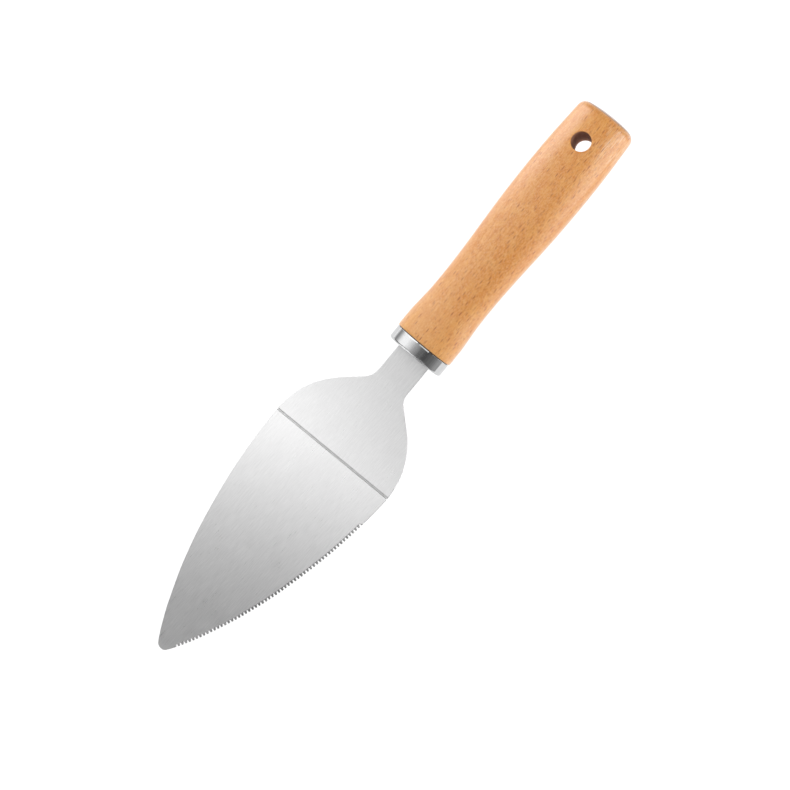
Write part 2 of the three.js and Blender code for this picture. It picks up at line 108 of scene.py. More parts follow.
# the server as it lies: rear panel's frame (x from the crease, z from mid sheet) in the row frame,
# and the handle's frame (x from the front of the ferrule) in the rear panel's frame


def turn_about_y(rise, at):
    """Rotation that lifts +X by `rise` radians, then a shift; millimetres."""
    return Matrix.Translation(Vector(at)) @ Matrix.Rotation(-rise, 4, "Y")


SERVER = turn_about_y(6.122013317635544 * DEG, (-32.364504896, 0.000728607, 2.521060407))
GRIP = SERVER @ turn_about_y(4.9 * DEG, (48.49561435542908, 0.0, 0.10250030776))


# ---------------------------------------------------------------- curve helpers
def spline(pairs):
    """Natural cubic spline through a table of pairs."""
    x = np.array([p[0] for p in pairs], float)
    y = np.array([p[1] for p in pairs], float)
    n = len(x)
    h = np.diff(x)
    a = np.zeros((n, n))
    b = np.zeros(n)
    a[0, 0] = a[-1, -1] = 1
    for i in range(1, n - 1):
        a[i, i - 1], a[i, i], a[i, i + 1] = h[i - 1], 2 * (h[i - 1] + h[i]), h[i]
        b[i] = 6 * ((y[i + 1] - y[i]) / h[i] - (y[i] - y[i - 1]) / h[i - 1])
    m = np.linalg.solve(a, b)

    def at(q):
        q = min(max(q, x[0]), x[-1])
        i = min(max(int(np.searchsorted(x, q)) - 1, 0), n - 2)
        t = q - x[i]
        return float(
            y[i]
            + t * ((y[i + 1] - y[i]) / h[i] - h[i] * (2 * m[i] + m[i + 1]) / 6)
            + t * t * m[i] / 2
            + t**3 * (m[i + 1] - m[i]) / (6 * h[i])
        )

    return at


def through(points, step):
    """Points about `step` apart on a centripetal Catmull-Rom curve through the given ones."""
    p = [np.array(q, float) for q in points]
    p = [2 * p[0] - p[1]] + p + [2 * p[-1] - p[-2]]
    out = [p[1]]
    for i in range(1, len(p) - 2):
        a, b, c, d = p[i - 1 : i + 3]
        t0 = 0.0
        t1 = t0 + math.sqrt(np.linalg.norm(b - a))
        t2 = t1 + math.sqrt(np.linalg.norm(c - b))
        t3 = t2 + math.sqrt(np.linalg.norm(d - c))
        n = max(1, round(np.linalg.norm(c - b) / step))
        for k in range(1, n + 1):
            t = t1 + (t2 - t1) * k / n
            a1 = (t1 - t) / (t1 - t0) * a + (t - t0) / (t1 - t0) * b
            a2 = (t2 - t) / (t2 - t1) * b + (t - t1) / (t2 - t1) * c
            a3 = (t3 - t) / (t3 - t2) * c + (t - t2) / (t3 - t2) * d
            b1 = (t2 - t) / (t2 - t0) * a1 + (t - t0) / (t2 - t0) * a2
            b2 = (t3 - t) / (t3 - t1) * a2 + (t - t1) / (t3 - t1) * a3
            out.append((t2 - t) / (t2 - t1) * b1 + (t - t1) / (t2 - t1) * b2)
    return out


def new_object(name, bm, local):
    """Links the bmesh, in millimetres of the frame `local`, as a piece in the row frame."""
    bmesh.ops.transform(bm, matrix=Matrix.Scale(MM, 4) @ local, verts=bm.verts)
    me = bpy.data.meshes.new(name)
    bm.to_mesh(me)
    bm.free()
    ob = bpy.data.objects.new(name, me)
    scene.collection.objects.link(ob)
    return ob


def apply_modifiers(ob):
    dg = bpy.context.evaluated_depsgraph_get()
    me = bpy.data.meshes.new_from_object(ob.evaluated_get(dg), depsgraph=dg)
    old = ob.data
    ob.modifiers.clear()
    ob.data = me
    me.name = ob.name
    bpy.data.meshes.remove(old)


# ---------------------------------------------------------------- blade: flat pattern
# u runs from the crease (0) to the butt, y across; z is measured from mid sheet
TOP = SHEET / 2
GROUND = 1.08  # width of the ground bevel that carries the teeth
GROUND_SLOPE = math.tan(23 * DEG)

half_curve = through([(d - FRONT_LENGTH, h) for d, h in FRONT_HALF][1:], 0.45)
nose = through(
    [(d - FRONT_LENGTH, -h) for d, h in reversed(FRONT_HALF[:4])]
    + [(d - FRONT_LENGTH, h) for d, h in FRONT_HALF[1:4]],
    0.22,
)
plain_edge = [tuple(q) for q in half_curve if q[0] > FRONT_HALF[3][0] - FRONT_LENGTH + 1e-6]
cut_edge = [(u, -y) for u, y in plain_edge]  # from the tip to the crease
nose = [tuple(q) for q in nose]  # from the -Y side over the tip to the +Y side
rear_curve = [tuple(q) for q in through(REAR_HALF, 0.6)][1:]

fine = np.array([nose[0]] + cut_edge)
seg = np.linalg.norm(np.diff(fine, axis=0), axis=1)
arc = np.concatenate([[0], np.cumsum(seg)])


def on_edge(s):
    """Point, direction and inward normal of the smooth serrated edge at arc length s."""
    i = int(min(max(np.searchsorted(arc, s), 1), len(arc) - 1))
    f = (s - arc[i - 1]) / (arc[i] - arc[i - 1])
    p = fine[i - 1] + f * (fine[i] - fine[i - 1])
    lo, hi = max(i - 3, 0), min(i + 2, len(fine) - 1)
    t = fine[hi] - fine[lo]
    t /= np.linalg.norm(t)
    return p, t, np.array([-t[1], t[0]])


def edge_point(s, depth, lean=True):
    """A point `depth` inside the smooth edge; the gullets' mouths lean towards the tip."""
    p, t, n = on_edge(s)
    return p + n * depth + (t * depth * math.tan(GULLET_LEAN) if lean else 0)


start = int(np.argmax(fine[:, 0] + FRONT_LENGTH >= SERRATION_FROM))
first = float(arc[start])
rng = np.random.default_rng(7)

bm = bmesh.new()
weight = {}  # bevel widths wanted at the outline's edges


def v(p, z):
    return bm.verts.new((float(p[0]), float(p[1]), z))


outline = []  # (top vertex, bottom vertex, is it in the serration)
top_loop = []
cells = []


def plain(p):
    a, b = v(p, TOP), v(p, -TOP)
    outline.append((a, b, False))
    top_loop.append(a)
    return a


# -Y side, from the tip to the crease
for p in fine[1:start]:
    if p[0] < edge_point(first - GULLET_MOUTH / 2 - 1.15, 0)[0] - 0.1:
        plain(p)
run_in = plain(edge_point(first - GULLET_MOUTH / 2 - 0.95, 0))
cell = [run_in]
inner_prev = None
for k in range(TOOTH_COUNT):
    s = first + k * TOOTH_PITCH + rng.uniform(-0.03, 0.03)
    depth = GULLET_DEPTH * rng.uniform(0.95, 1.04)
    mouth = GULLET_MOUTH * rng.uniform(0.95, 1.05) / 2
    floor = GULLET_FLOOR * rng.uniform(0.95, 1.1) / 2

    def station(q, d):
        p = edge_point(q, d)
        a, b = v(p, TOP - (GROUND - d) * GROUND_SLOPE), v(p, -TOP)
        outline.append((a, b, True))
        return a

    left_mouth = station(s - mouth, 0.0)
    left_floor = station(s - floor, depth)
    middle = station(s, depth + 0.02)
    inner = v(edge_point(s, GROUND), TOP)
    top_loop.append(inner)
    cell += [left_mouth, left_floor, middle, inner]
    if inner_prev is not None:
        cell.append(inner_prev)
    cells.append(cell)
    right_floor = station(s + floor, depth)
    right_mouth = station(s + mouth, 0.0)
    cell = [middle, right_floor, right_mouth]
    inner_prev = inner
run_out_s = first + (TOOTH_COUNT - 1) * TOOTH_PITCH + GULLET_MOUTH / 2 + 0.95
run_out = plain(edge_point(run_out_s, 0))
cells.append(cell + [run_out, inner_prev])
for p in fine:
    if p[0] > edge_point(run_out_s, 0)[0] + 0.25 and p[0] < 0:
        plain(p)
plain((0.0, -REAR_HALF[0][1]))
for u, y in rear_curve:
    if u < FOLD_TANG - 0.3:
        plain((u, -y))
# neck, step and notched tang
tang_step = NECK_LENGTH + 2.6
side = [(tang_step, NECK_HALF), (tang_step + 1.2, TANG_HALF)]
for at, notch, half_len in TANG_KEY:
    side += [
        (NECK_LENGTH + at - half_len, TANG_HALF),
        (NECK_LENGTH + at - half_len + notch, TANG_HALF - notch),
        (NECK_LENGTH + at + half_len - notch, TANG_HALF - notch),
        (NECK_LENGTH + at + half_len, TANG_HALF),
    ]
side += [
    (NECK_LENGTH + TANG_END - TANG_HALF + TANG_HALF * math.sin(a * DEG), TANG_HALF * math.cos(a * DEG))
    for a in range(0, 91, 9)
]
for u, y in side:
    plain((u, -y))
for u, y in reversed(side[:-1]):
    plain((u, y))
for u, y in reversed(rear_curve):
    if u < FOLD_TANG - 0.3:
        plain((u, y))
plain((0.0, REAR_HALF[0][1]))
for p in reversed(plain_edge):
    if p[0] < -0.2:
        plain(p)
for p in reversed(nose):
    plain(p)

main_top = bm.faces.new(top_loop)
for c in cells:
    bm.faces.new(c)
bm.faces.new([b for _, b, _ in reversed(outline)])
n = len(outline)
for i in range(n):
    (a, b, _), (c, d, _) = outline[i], outline[(i + 1) % n]
    bm.faces.new((a, b, d, c))
bmesh.ops.recalc_face_normals(bm, faces=bm.faces)
if main_top.normal.z < 0:
    bmesh.ops.reverse_faces(bm, faces=bm.faces)

# cuts across the sheet where it bends: the crease with its pressed line, and the arc up to the neck
LINE_HALF = 0.62
LINE_DEPTH = 0.085
BOW = 0.9  # the rear panel rises in a shallow arc, this far below its chord at the middle
crease_out = Vector((-math.cos(CREASE_SKEW), -math.sin(CREASE_SKEW), 0))


def cut(point, normal, snap=1e-5):
    geom = bm.verts[:] + bm.edges[:] + bm.faces[:]
    bmesh.ops.bisect_plane(bm, geom=geom, dist=snap, plane_co=point, plane_no=normal)


for c in np.linspace(-LINE_HALF, LINE_HALF, 13):
    cut(crease_out * c, crease_out)
for c in np.linspace(2.0, FOLD_TANG - 2.0, 23):
    cut(crease_out * -c, crease_out, 0.15)
cut(Vector((FOLD_TANG, 0, 0)), Vector((1, 0, 0)))


def turned(c, z, fold):
    """Along and up after a turn by `fold` about the line c = 0; a point on that line goes half way."""
    a = fold / 2 if abs(c) < 1e-4 else fold
    return c * math.cos(a) - z * math.sin(a), c * math.sin(a) + z * math.cos(a)


def folded(u, y, z):
    if u > FOLD_TANG - 1e-4:
        x, up = turned(u - FOLD_TANG, z, TANG_FOLD)
        return Vector((FOLD_TANG + x, y, up))
    mx, my = crease_out.x, crease_out.y
    across = u * mx + y * my
    along = u * my - y * mx
    if abs(across) < LINE_HALF and z > 0:  # the pressed line
        z -= LINE_DEPTH * (0.5 + 0.5 * math.cos(math.pi * across / LINE_HALF))
    if across > -1e-4:
        out, up = turned(across, z, CREASE_FOLD)
    else:
        q = min(-across / FOLD_TANG, 1)
        out, up = across, z - 4 * BOW * q * (1 - q)
    return Vector((my * along + mx * out, -mx * along + my * out, up))


uv_layer = bm.loops.layers.uv.new("brush")
for f in bm.faces:
    for loop in f.loops:
        loop[uv_layer].uv = (loop.vert.co.x * 0.01, loop.vert.co.y * 0.01 + 0.004 * loop.vert.co.z)
for vert in bm.verts:
    vert.co = folded(*vert.co)
bm.normal_update()

bevel = bm.edges.layers.float.new("bevel_weight_edge")
serrated_u = (fine[start][0] - 1.6, edge_point(run_out_s, 0)[0] + 0.4)
for e in bm.edges:
    if len(e.link_faces) != 2:
        continue
    if e.calc_face_angle(0) < 14 * DEG:
        continue
    mid = (e.verts[0].co + e.verts[1].co) / 2
    in_teeth = mid.y < 0 and serrated_u[0] < mid.x < serrated_u[1] and mid.y < -2
    e[bevel] = 0.25 if in_teeth else 1.0
blade = new_object("blade_sheet", bm, SERVER)
mod = blade.modifiers.new("edges", "BEVEL")
mod.limit_method = "WEIGHT"
mod.offset_type = "OFFSET"
mod.width = 0.2 * MM
mod.segments = 3
mod.profile = 0.5
mod.use_clamp_overlap = False
for poly in blade.data.polygons:
    poly.use_smooth = True
wn = blade.modifiers.new("normals", "WEIGHTED_NORMAL")
wn.mode = "FACE_AREA"
wn.weight = 60
wn.keep_sharp = True
apply_modifiers(blade)


# ---------------------------------------------------------------- ferrule
def oval(half, thick, n):
    out = []
    for i in range(n):
        a = 2 * math.pi * (i + 0.5) / n
        c, s = math.cos(a), math.sin(a)
        out.append((
            half * math.copysign(abs(c) ** (2 / OVAL_POWER), c),
            thick * math.copysign(abs(s) ** (2 / OVAL_POWER), s),
        ))
    return out


def ring(bm, x, half, thick, n):
    return [bm.verts.new((x, y, z)) for y, z in oval(half, thick, n)]


def bridge(bm, a, b):
    n = len(a)
    for i in range(n):
        bm.faces.new((a[i], a[(i + 1) % n], b[(i + 1) % n], b[i]))


N = 240
bm = bmesh.new()
thick = FERRULE_HALF * OVAL_RATIO
rings = []
STEPS = 10
for i in range(STEPS + 1):
    a = i / STEPS * math.pi / 2
    inset = FERRULE_CORNER * (1 - math.sin(a))
    rings.append(ring(bm, FERRULE_CORNER * (1 - math.cos(a)), FERRULE_HALF - inset, thick - inset, N))
for x in (1.6, 2.4, 3.2, 4.0, 4.8):
    rings.append(ring(bm, x, FERRULE_HALF, thick, N))
LIP = 0.05
for i in range(0, 7):
    a = i / 6 * math.pi / 2
    inset = LIP * (1 - math.cos(a))
    rings.append(ring(bm, FERRULE_LENGTH - LIP + LIP * math.sin(a), FERRULE_HALF - inset, thick - inset, N))
inner_h, inner_t = FERRULE_HALF - FERRULE_WALL, thick - FERRULE_WALL
for x, inset in ((FERRULE_LENGTH, -0.12), (FERRULE_LENGTH - 0.12, 0.0), (3.2, 0.0),
                 (FERRULE_PLATE + 0.3, 0.0), (FERRULE_PLATE + 0.09, 0.09), (FERRULE_PLATE, 0.3)):
    rings.append(ring(bm, x, inner_h - inset, inner_t - inset, N))
for a, b in zip(rings, rings[1:]):
    bridge(bm, a, b)


def slot_loop(bm, x, hy, hz, r, n):
    """Rounded rectangle with seven vertices on each corner's arc; `n` is not used."""
    pts = []
    steps = 7
    for cx, cy, a0 in ((hy - r, hz - r, 0), (-hy + r, hz - r, 90), (-hy + r, -hz + r, 180), (hy - r, -hz + r, 270)):
        for k in range(steps):
            a = (a0 + 90 * k / (steps - 1)) * DEG
            pts.append((cx + r * math.cos(a), cy + r * math.sin(a)))
    return [bm.verts.new((x, y, z)) for y, z in pts]


SLOT_Y, SLOT_Z = NECK_HALF + 0.14, SHEET / 2 + 0.14


def plate(bm, oval_ring, x, flip):
    """Flat plate between an oval ring and the slot, as an upper and a lower face."""
    loop = slot_loop(bm, x, SLOT_Y, SLOT_Z, 0.3, N)
    h = N // 2
    m = len(loop) // 2
    up = oval_ring[:h] + loop[:m][::-1]
    low = oval_ring[h:] + loop[m:][::-1]
    ends = (
        [oval_ring[h - 1], oval_ring[h], loop[m], loop[m - 1]],
        [oval_ring[-1], oval_ring[0], loop[0], loop[-1]],
    )
    for f in (up, low) + ends:
        bm.faces.new(f[::-1] if flip else f)
    return loop


front_slot = plate(bm, rings[0], 0.0, False)
back_slot = plate(bm, rings[-1], FERRULE_PLATE, True)
bridge(bm, front_slot, back_slot)
bmesh.ops.recalc_face_normals(bm, faces=bm.faces)
ferrule = new_object("ferrule_cup", bm, GRIP)
for poly in ferrule.data.polygons:
    poly.use_smooth = True
wn = ferrule.modifiers.new("normals", "WEIGHTED_NORMAL")
wn.mode = "FACE_AREA_WITH_ANGLE"
wn.weight = 60
apply_modifiers(ferrule)

# ---------------------------------------------------------------- handle
wood_half = spline(WOOD_HALF)
N = 192
bm = bmesh.new()
spigot_half = inner_h - 0.12
spigot_thick = inner_t - 0.12
SHOULDER = FERRULE_LENGTH + GAP
RIM_START = HANDLE_LENGTH - BUTT_DOME - BUTT_ROUND
rim_half = wood_half(RIM_START)


def section(x):
    """Half width and half thickness of the wood behind its shoulder."""
    if x <= RIM_START:
        h = wood_half(x)
        return h, h * OVAL_RATIO
    a = math.asin(min(1.0, (x - RIM_START) / BUTT_ROUND))
    inset = (rim_half - BUTT_FLAT_HALF) * (1 - math.cos(a))
    return rim_half - inset, rim_half * OVAL_RATIO - inset * 0.85


rows = []
ease = 0.12
first_half = wood_half(SHOULDER)
for i in range(5):
    a = i / 5 * math.pi / 2
    inset = ease * (1 - math.sin(a))
    rows.append((SHOULDER + ease * (1 - math.cos(a)), first_half - inset, first_half * OVAL_RATIO - inset))
x = SHOULDER + ease
WIN = (HOLE_AT - 6.6, HOLE_AT + 6.6)
xs = list(np.arange(x, WIN[0] - 0.3, 1.25)) + list(np.linspace(WIN[0], WIN[1], 15)) + list(
    np.linspace(WIN[1] + 0.6, RIM_START, 7)
)
for q in xs:
    h, t = section(q)
    rows.append((q, h, t))
for i in range(1, 13):
    a = i / 12 * 84 * DEG
    q = RIM_START + BUTT_ROUND * math.sin(a)
    h, t = section(q)
    rows.append((q, h, t))
face_x, face_h, face_t = rows[-1]
for f in (0.94, 0.86, 0.76, 0.64, 0.5, 0.34, 0.17):
    rows.append((face_x + (HANDLE_LENGTH - face_x) * (1 - f * f), face_h * f, face_t * f))

grid = [ring(bm, x, h, t, N) for x, h, t in rows]
row_x = [r[0] for r in rows]
k0 = min(range(len(rows)), key=lambda k: abs(row_x[k] - WIN[0]))
k1 = min(range(len(rows)), key=lambda k: abs(row_x[k] - WIN[1]))
SPAN = 17  # columns of the window on each side of the middle
top_cols = list(range(N // 4 - SPAN, N // 4 + SPAN))
low_cols = [N // 2 + c for c in top_cols]


def in_window(k, i):
    return k0 <= k < k1 and (top_cols[0] <= i < top_cols[-1] or low_cols[0] <= i < low_cols[-1])


for k in range(len(grid) - 1):
    for i in range(N):
        if not in_window(k, i):
            a, b = grid[k], grid[k + 1]
            bm.faces.new((a[i], a[(i + 1) % N], b[(i + 1) % N], b[i]))
tip = bm.verts.new((HANDLE_LENGTH, 0, 0))
for i in range(N):
    bm.faces.new((grid[-1][i], grid[-1][(i + 1) % N], tip))


def surface(x, y):
    h, t = section(x)
    return t * max(1 - abs(y / h) ** OVAL_POWER, 0) ** (1 / OVAL_POWER)


RIM = 0.34
walls = []
for cols, sign in ((top_cols, 1), (low_cols, -1)):
    edge = (
        [grid[k0][c] for c in cols]
        + [grid[k][cols[-1]] for k in range(k0 + 1, k1)]
        + [grid[k1][c] for c in reversed(cols)]
        + [grid[k][cols[0]] for k in range(k1 - 1, k0, -1)]
    )
    angles = [math.atan2(e.co.y - HOLE_SIDE, e.co.x - HOLE_AT) for e in edge]
    prev = edge
    K = 9
    for j in range(1, K + 1):
        w = 1 - (1 - j / K) ** 1.5
        now = []
        for e, a in zip(edge, angles):
            cx = HOLE_AT + (HOLE_RADIUS + RIM) * math.cos(a)
            cy = HOLE_SIDE + (HOLE_RADIUS + RIM) * math.sin(a)
            x, y = e.co.x + w * (cx - e.co.x), e.co.y + w * (cy - e.co.y)
            now.append(bm.verts.new((x, y, sign * surface(x, y))))
        bridge(bm, prev, now)
        prev = now
    lip = [p.co.copy() for p in prev]
    for j in range(1, 7):
        f = j / 6 * math.pi / 2
        now = []
        for c0, a in zip(lip, angles):
            r = HOLE_RADIUS + RIM - RIM * math.sin(f)
            now.append(bm.verts.new((
                HOLE_AT + r * math.cos(a),
                HOLE_SIDE + r * math.sin(a),
                c0.z - sign * RIM * (1 - math.cos(f)),
            )))
        bridge(bm, prev, now)
        prev = now
    walls.append((angles, prev))
# bore: the lower loop is put in the upper loop's order, and rings lie between them
(top_angles, top_rim), (low_angles, low_rim) = walls
pairs = []
for a, vt in zip(top_angles, top_rim):
    j = min(range(len(low_rim)), key=lambda j: abs(math.remainder(low_angles[j] - a, 2 * math.pi)))
    pairs.append(low_rim[j])
matched = len(set(pairs)) == len(pairs)
prev = top_rim
RINGS = 6
for j in range(1, RINGS + 1):
    now = []
    for a, vt, vl in zip(top_angles, top_rim, pairs):
        if j == RINGS:
            now.append(vl)
        else:
            f = j / RINGS
            now.append(bm.verts.new((vt.co.x, vt.co.y, vt.co.z + f * (vl.co.z - vt.co.z))))
    bridge(bm, prev, now)
    prev = now

# spigot inside the ferrule, and the slot for the tang
shoulder_in = ring(bm, SHOULDER, spigot_half, spigot_thick, N)
bridge(bm, shoulder_in, grid[0])
front_a = ring(bm, SPIGOT_FRONT + 0.3, spigot_half, spigot_thick, N)
front_b = ring(bm, SPIGOT_FRONT, spigot_half - 0.3, spigot_thick - 0.3, N)
bridge(bm, front_a, shoulder_in)
bridge(bm, front_b, front_a)
mouth_a = slot_loop(bm, SPIGOT_FRONT, NECK_HALF + 0.4, SLOT_HALF_HEIGHT, 0.2, N)
h, m = N // 2, len(mouth_a) // 2
for f in (
    front_b[:h] + mouth_a[:m][::-1],
    front_b[h:] + mouth_a[m:][::-1],
    [front_b[h - 1], front_b[h], mouth_a[m], mouth_a[m - 1]],
    [front_b[-1], front_b[0], mouth_a[0], mouth_a[-1]],
):
    bm.faces.new(f)
mouth_b = slot_loop(bm, 5.0, NECK_HALF + 0.4, SLOT_HALF_HEIGHT, 0.2, N)
slot_a = slot_loop(bm, 5.0, SLOT_HALF_WIDTH, SLOT_HALF_HEIGHT - 0.08, 0.2, N)
slot_b = slot_loop(bm, SLOT_END, SLOT_HALF_WIDTH, SLOT_HALF_HEIGHT - 0.08, 0.2, N)
bridge(bm, mouth_a, mouth_b)
bridge(bm, mouth_b, slot_a)
bridge(bm, slot_a, slot_b)
bm.faces.new(slot_b)
bmesh.ops.recalc_face_normals(bm, faces=bm.faces)
for e in bm.edges:
    if len(e.link_faces) == 2 and e.calc_face_angle(0) > 50 * DEG:
        e.smooth = False
for vert in [q for q in bm.verts if not q.link_faces]:
    bm.verts.remove(vert)
wood = new_object("beech_handle", bm, GRIP)
for poly in wood.data.polygons:
    poly.use_smooth = True


# ---------------------------------------------------------------- materials
def material(name):
    m = bpy.data.materials.new(name)
    m.use_nodes = True
    nt = m.node_tree
    nt.nodes.clear()
    out = nt.nodes.new("ShaderNodeOutputMaterial")
    bsdf = nt.nodes.new("ShaderNodeBsdfPrincipled")
    nt.links.new(bsdf.outputs[0], out.inputs[0])
    return m, nt, bsdf


def node(nt, kind, **values):
    n = nt.nodes.new("ShaderNode" + kind)
    for k, val in values.items():
        if k in n.inputs:
            n.inputs[k].default_value = val
        else:
            setattr(n, k, val)
    return n


def linear(r, g, b):
    def f(c):
        c /= 255
        return c / 12.92 if c <= 0.04045 else ((c + 0.055) / 1.055) ** 2.4

    return (f(r), f(g), f(b), 1)


def coords(nt, scale):
    """Coordinates along, across and through the handle, in units of the given lengths in millimetres."""
    t = nt.nodes.new("ShaderNodeTexCoord")
    back = GRIP.inverted()
    turn = nt.nodes.new("ShaderNodeMapping")
    turn.inputs["Rotation"].default_value = back.to_euler()
    turn.inputs["Location"].default_value = back.translation * MM
    m = nt.nodes.new("ShaderNodeMapping")
    m.inputs["Scale"].default_value = [1000.0 / s for s in scale]
    nt.links.new(t.outputs["Object"], turn.inputs["Vector"])
    nt.links.new(turn.outputs["Vector"], m.inputs["Vector"])
    return m.outputs["Vector"]


def sheet_coords(nt, along, across):
    """Coordinates on the flat pattern of the sheet, in units of the given lengths in millimetres."""
    t = nt.nodes.new("ShaderNodeUVMap")
    t.uv_map = "brush"
    m = nt.nodes.new("ShaderNodeMapping")
    m.inputs["Scale"].default_value = (100.0 / along, 100.0 / across, 1.0)
    nt.links.new(t.outputs[0], m.inputs["Vector"])
    return m.outputs["Vector"]


def noise(nt, vector, detail=2.0, rough=0.5, scale=1.0, distortion=0.0):
    n = node(nt, "TexNoise", Scale=scale, Detail=detail, Roughness=rough, Distortion=distortion)
    nt.links.new(vector, n.inputs["Vector"])
    return n.outputs["Fac"]


def remap(nt, value, lo, hi, to_lo, to_hi):
    n = nt.nodes.new("ShaderNodeMapRange")
    n.inputs["From Min"].default_value = lo
    n.inputs["From Max"].default_value = hi
    n.inputs["To Min"].default_value = to_lo
    n.inputs["To Max"].default_value = to_hi
    nt.links.new(value, n.inputs["Value"])
    return n.outputs["Result"]


def math_node(nt, op, a, b):
    n = nt.nodes.new("ShaderNodeMath")
    n.operation = op
    for i, q in enumerate((a, b)):
        if isinstance(q, (int, float)):
            n.inputs[i].default_value = q
        else:
            nt.links.new(q, n.inputs[i])
    return n.outputs[0]


def mix(nt, fac, a, b, blend="MIX"):
    n = nt.nodes.new("ShaderNodeMix")
    n.data_type = "RGBA"
    n.blend_type = blend
    for sock, q in ((n.inputs[0], fac), (n.inputs[6], a), (n.inputs[7], b)):
        if isinstance(q, (int, float, tuple)):
            sock.default_value = q
        else:
            nt.links.new(q, sock)
    return n.outputs[2]


def bump(nt, bsdf, height, distance, strength=1.0, socket="Normal"):
    b = node(nt, "Bump", Strength=strength, Distance=distance * MM)
    nt.links.new(height, b.inputs["Height"])
    nt.links.new(b.outputs[0], bsdf.inputs[socket])
    return b


# brushed sheet: fine scratches along the length
m_blade, nt, bsdf = material("brushed stainless sheet")
bsdf.inputs["Metallic"].default_value = 1.0
bsdf.inputs["Anisotropic"].default_value = 0.5
bsdf.inputs["Anisotropic Rotation"].default_value = 0.25
streak = noise(nt, sheet_coords(nt, 6.0, 0.34), detail=3, rough=0.65)
hair = noise(nt, sheet_coords(nt, 3.0, 0.07), detail=2, rough=0.6)
cloud = noise(nt, sheet_coords(nt, 14.0, 7.0), detail=2, rough=0.5)
tone = math_node(nt, "ADD", math_node(nt, "MULTIPLY", streak, 0.6), math_node(nt, "MULTIPLY", hair, 0.4))
colour = mix(nt, remap(nt, tone, 0.3, 0.7, 0, 1), (0.66, 0.659, 0.660, 1), (0.83, 0.829, 0.830, 1))
nt.links.new(colour, bsdf.inputs["Base Color"])
rough = math_node(
    nt, "ADD", remap(nt, streak, 0.3, 0.7, 0.27, 0.35), remap(nt, cloud, 0.3, 0.7, -0.01, 0.02)
)
nt.links.new(rough, bsdf.inputs["Roughness"])
bump(nt, bsdf, tone, 0.004)
tangent = nt.nodes.new("ShaderNodeTangent")
tangent.direction_type = "UV_MAP"
tangent.uv_map = "brush"
nt.links.new(tangent.outputs[0], bsdf.inputs["Tangent"])

# polished cup
m_ferrule, nt, bsdf = material("polished stainless cup")
bsdf.inputs["Metallic"].default_value = 1.0
smear = noise(nt, coords(nt, (6.0, 6.0, 6.0)), detail=3, rough=0.6)
hair = noise(nt, coords(nt, (0.12, 4.0, 4.0)), detail=2, rough=0.6)
colour = mix(nt, remap(nt, hair, 0.3, 0.7, 0, 1), (0.57, 0.572, 0.577, 1), (0.63, 0.632, 0.637, 1))
nt.links.new(colour, bsdf.inputs["Base Color"])
nt.links.new(remap(nt, smear, 0.3, 0.7, 0.07, 0.11), bsdf.inputs["Roughness"])
bump(nt, bsdf, hair, 0.0012)

# beech: pale pinkish brown, short dark ray flecks along the grain, satin coat
m_wood, nt, bsdf = material("oiled beech")
place = nt.nodes.new("ShaderNodeSeparateXYZ")
nt.links.new(coords(nt, (1.0, 1.0, 1.0)), place.inputs[0])
band = noise(nt, coords(nt, (55.0, 4.5, 4.0)), detail=2, rough=0.55, distortion=0.4)
fibre = noise(nt, coords(nt, (4.2, 0.5, 0.5)), detail=3, rough=0.65)
mottle = noise(nt, coords(nt, (4.5, 2.4, 2.4)), detail=3, rough=0.6)
grit = noise(nt, coords(nt, (0.9, 0.35, 0.35)), detail=2, rough=0.6)
base = mix(nt, remap(nt, band, 0.35, 0.65, 0, 1), linear(225, 152, 66), linear(237, 169, 84))
base = mix(nt, remap(nt, mottle, 0.38, 0.64, 0.0, 0.75), base, linear(224, 141, 49))
base = mix(nt, remap(nt, fibre, 0.44, 0.66, 0.0, 0.75), base, linear(212, 124, 34))


def flecks(nt, size, keep, reach):
    """Mask of short strokes along the grain, one in some of the cells; `keep` is a share or a socket."""
    vor = node(nt, "TexVoronoi", Scale=1.0)
    vor.feature = "F1"
    nt.links.new(coords(nt, size), vor.inputs["Vector"])
    sep = nt.nodes.new("ShaderNodeSeparateColor")
    nt.links.new(vor.outputs["Color"], sep.inputs[0])
    chosen = math_node(nt, "LESS_THAN", sep.outputs[0], keep)
    shape = remap(nt, vor.outputs["Distance"], reach * 0.4, reach, 1, 0)
    strength = remap(nt, sep.outputs[1], 0, 1, 0.35, 1)
    return math_node(nt, "MULTIPLY", math_node(nt, "MULTIPLY", chosen, shape), strength)


# the flecks crowd where the saw met the rays end on, towards the serrated side
patch = noise(nt, coords(nt, (26.0, 8.0, 8.0)), detail=1)
side = math_node(nt, "ADD", place.outputs[1], math_node(nt, "MULTIPLY", patch, 9.0))
dense = remap(nt, side, 9.0, -1.0, 0.18, 0.75)
fleck_a = flecks(nt, (3.4, 0.80, 0.9), dense, 0.38)
fleck_b = flecks(nt, (1.8, 0.55, 0.6), dense, 0.42)
marks = math_node(nt, "MAXIMUM", fleck_a, math_node(nt, "MULTIPLY", fleck_b, 0.55))
base = mix(nt, remap(nt, grit, 0.45, 0.7, 0.0, 0.45), base, linear(247, 203, 148))
# painted light: the wood is painted paler from 28 mm back to the ferrule, where the lamps leave it darker
base = mix(nt, remap(nt, place.outputs[0], 6.0, 28.0, 0.3, 0.0), base, linear(244, 186, 116))
base = mix(nt, math_node(nt, "MULTIPLY", marks, 0.95), base, linear(180, 88, 20))
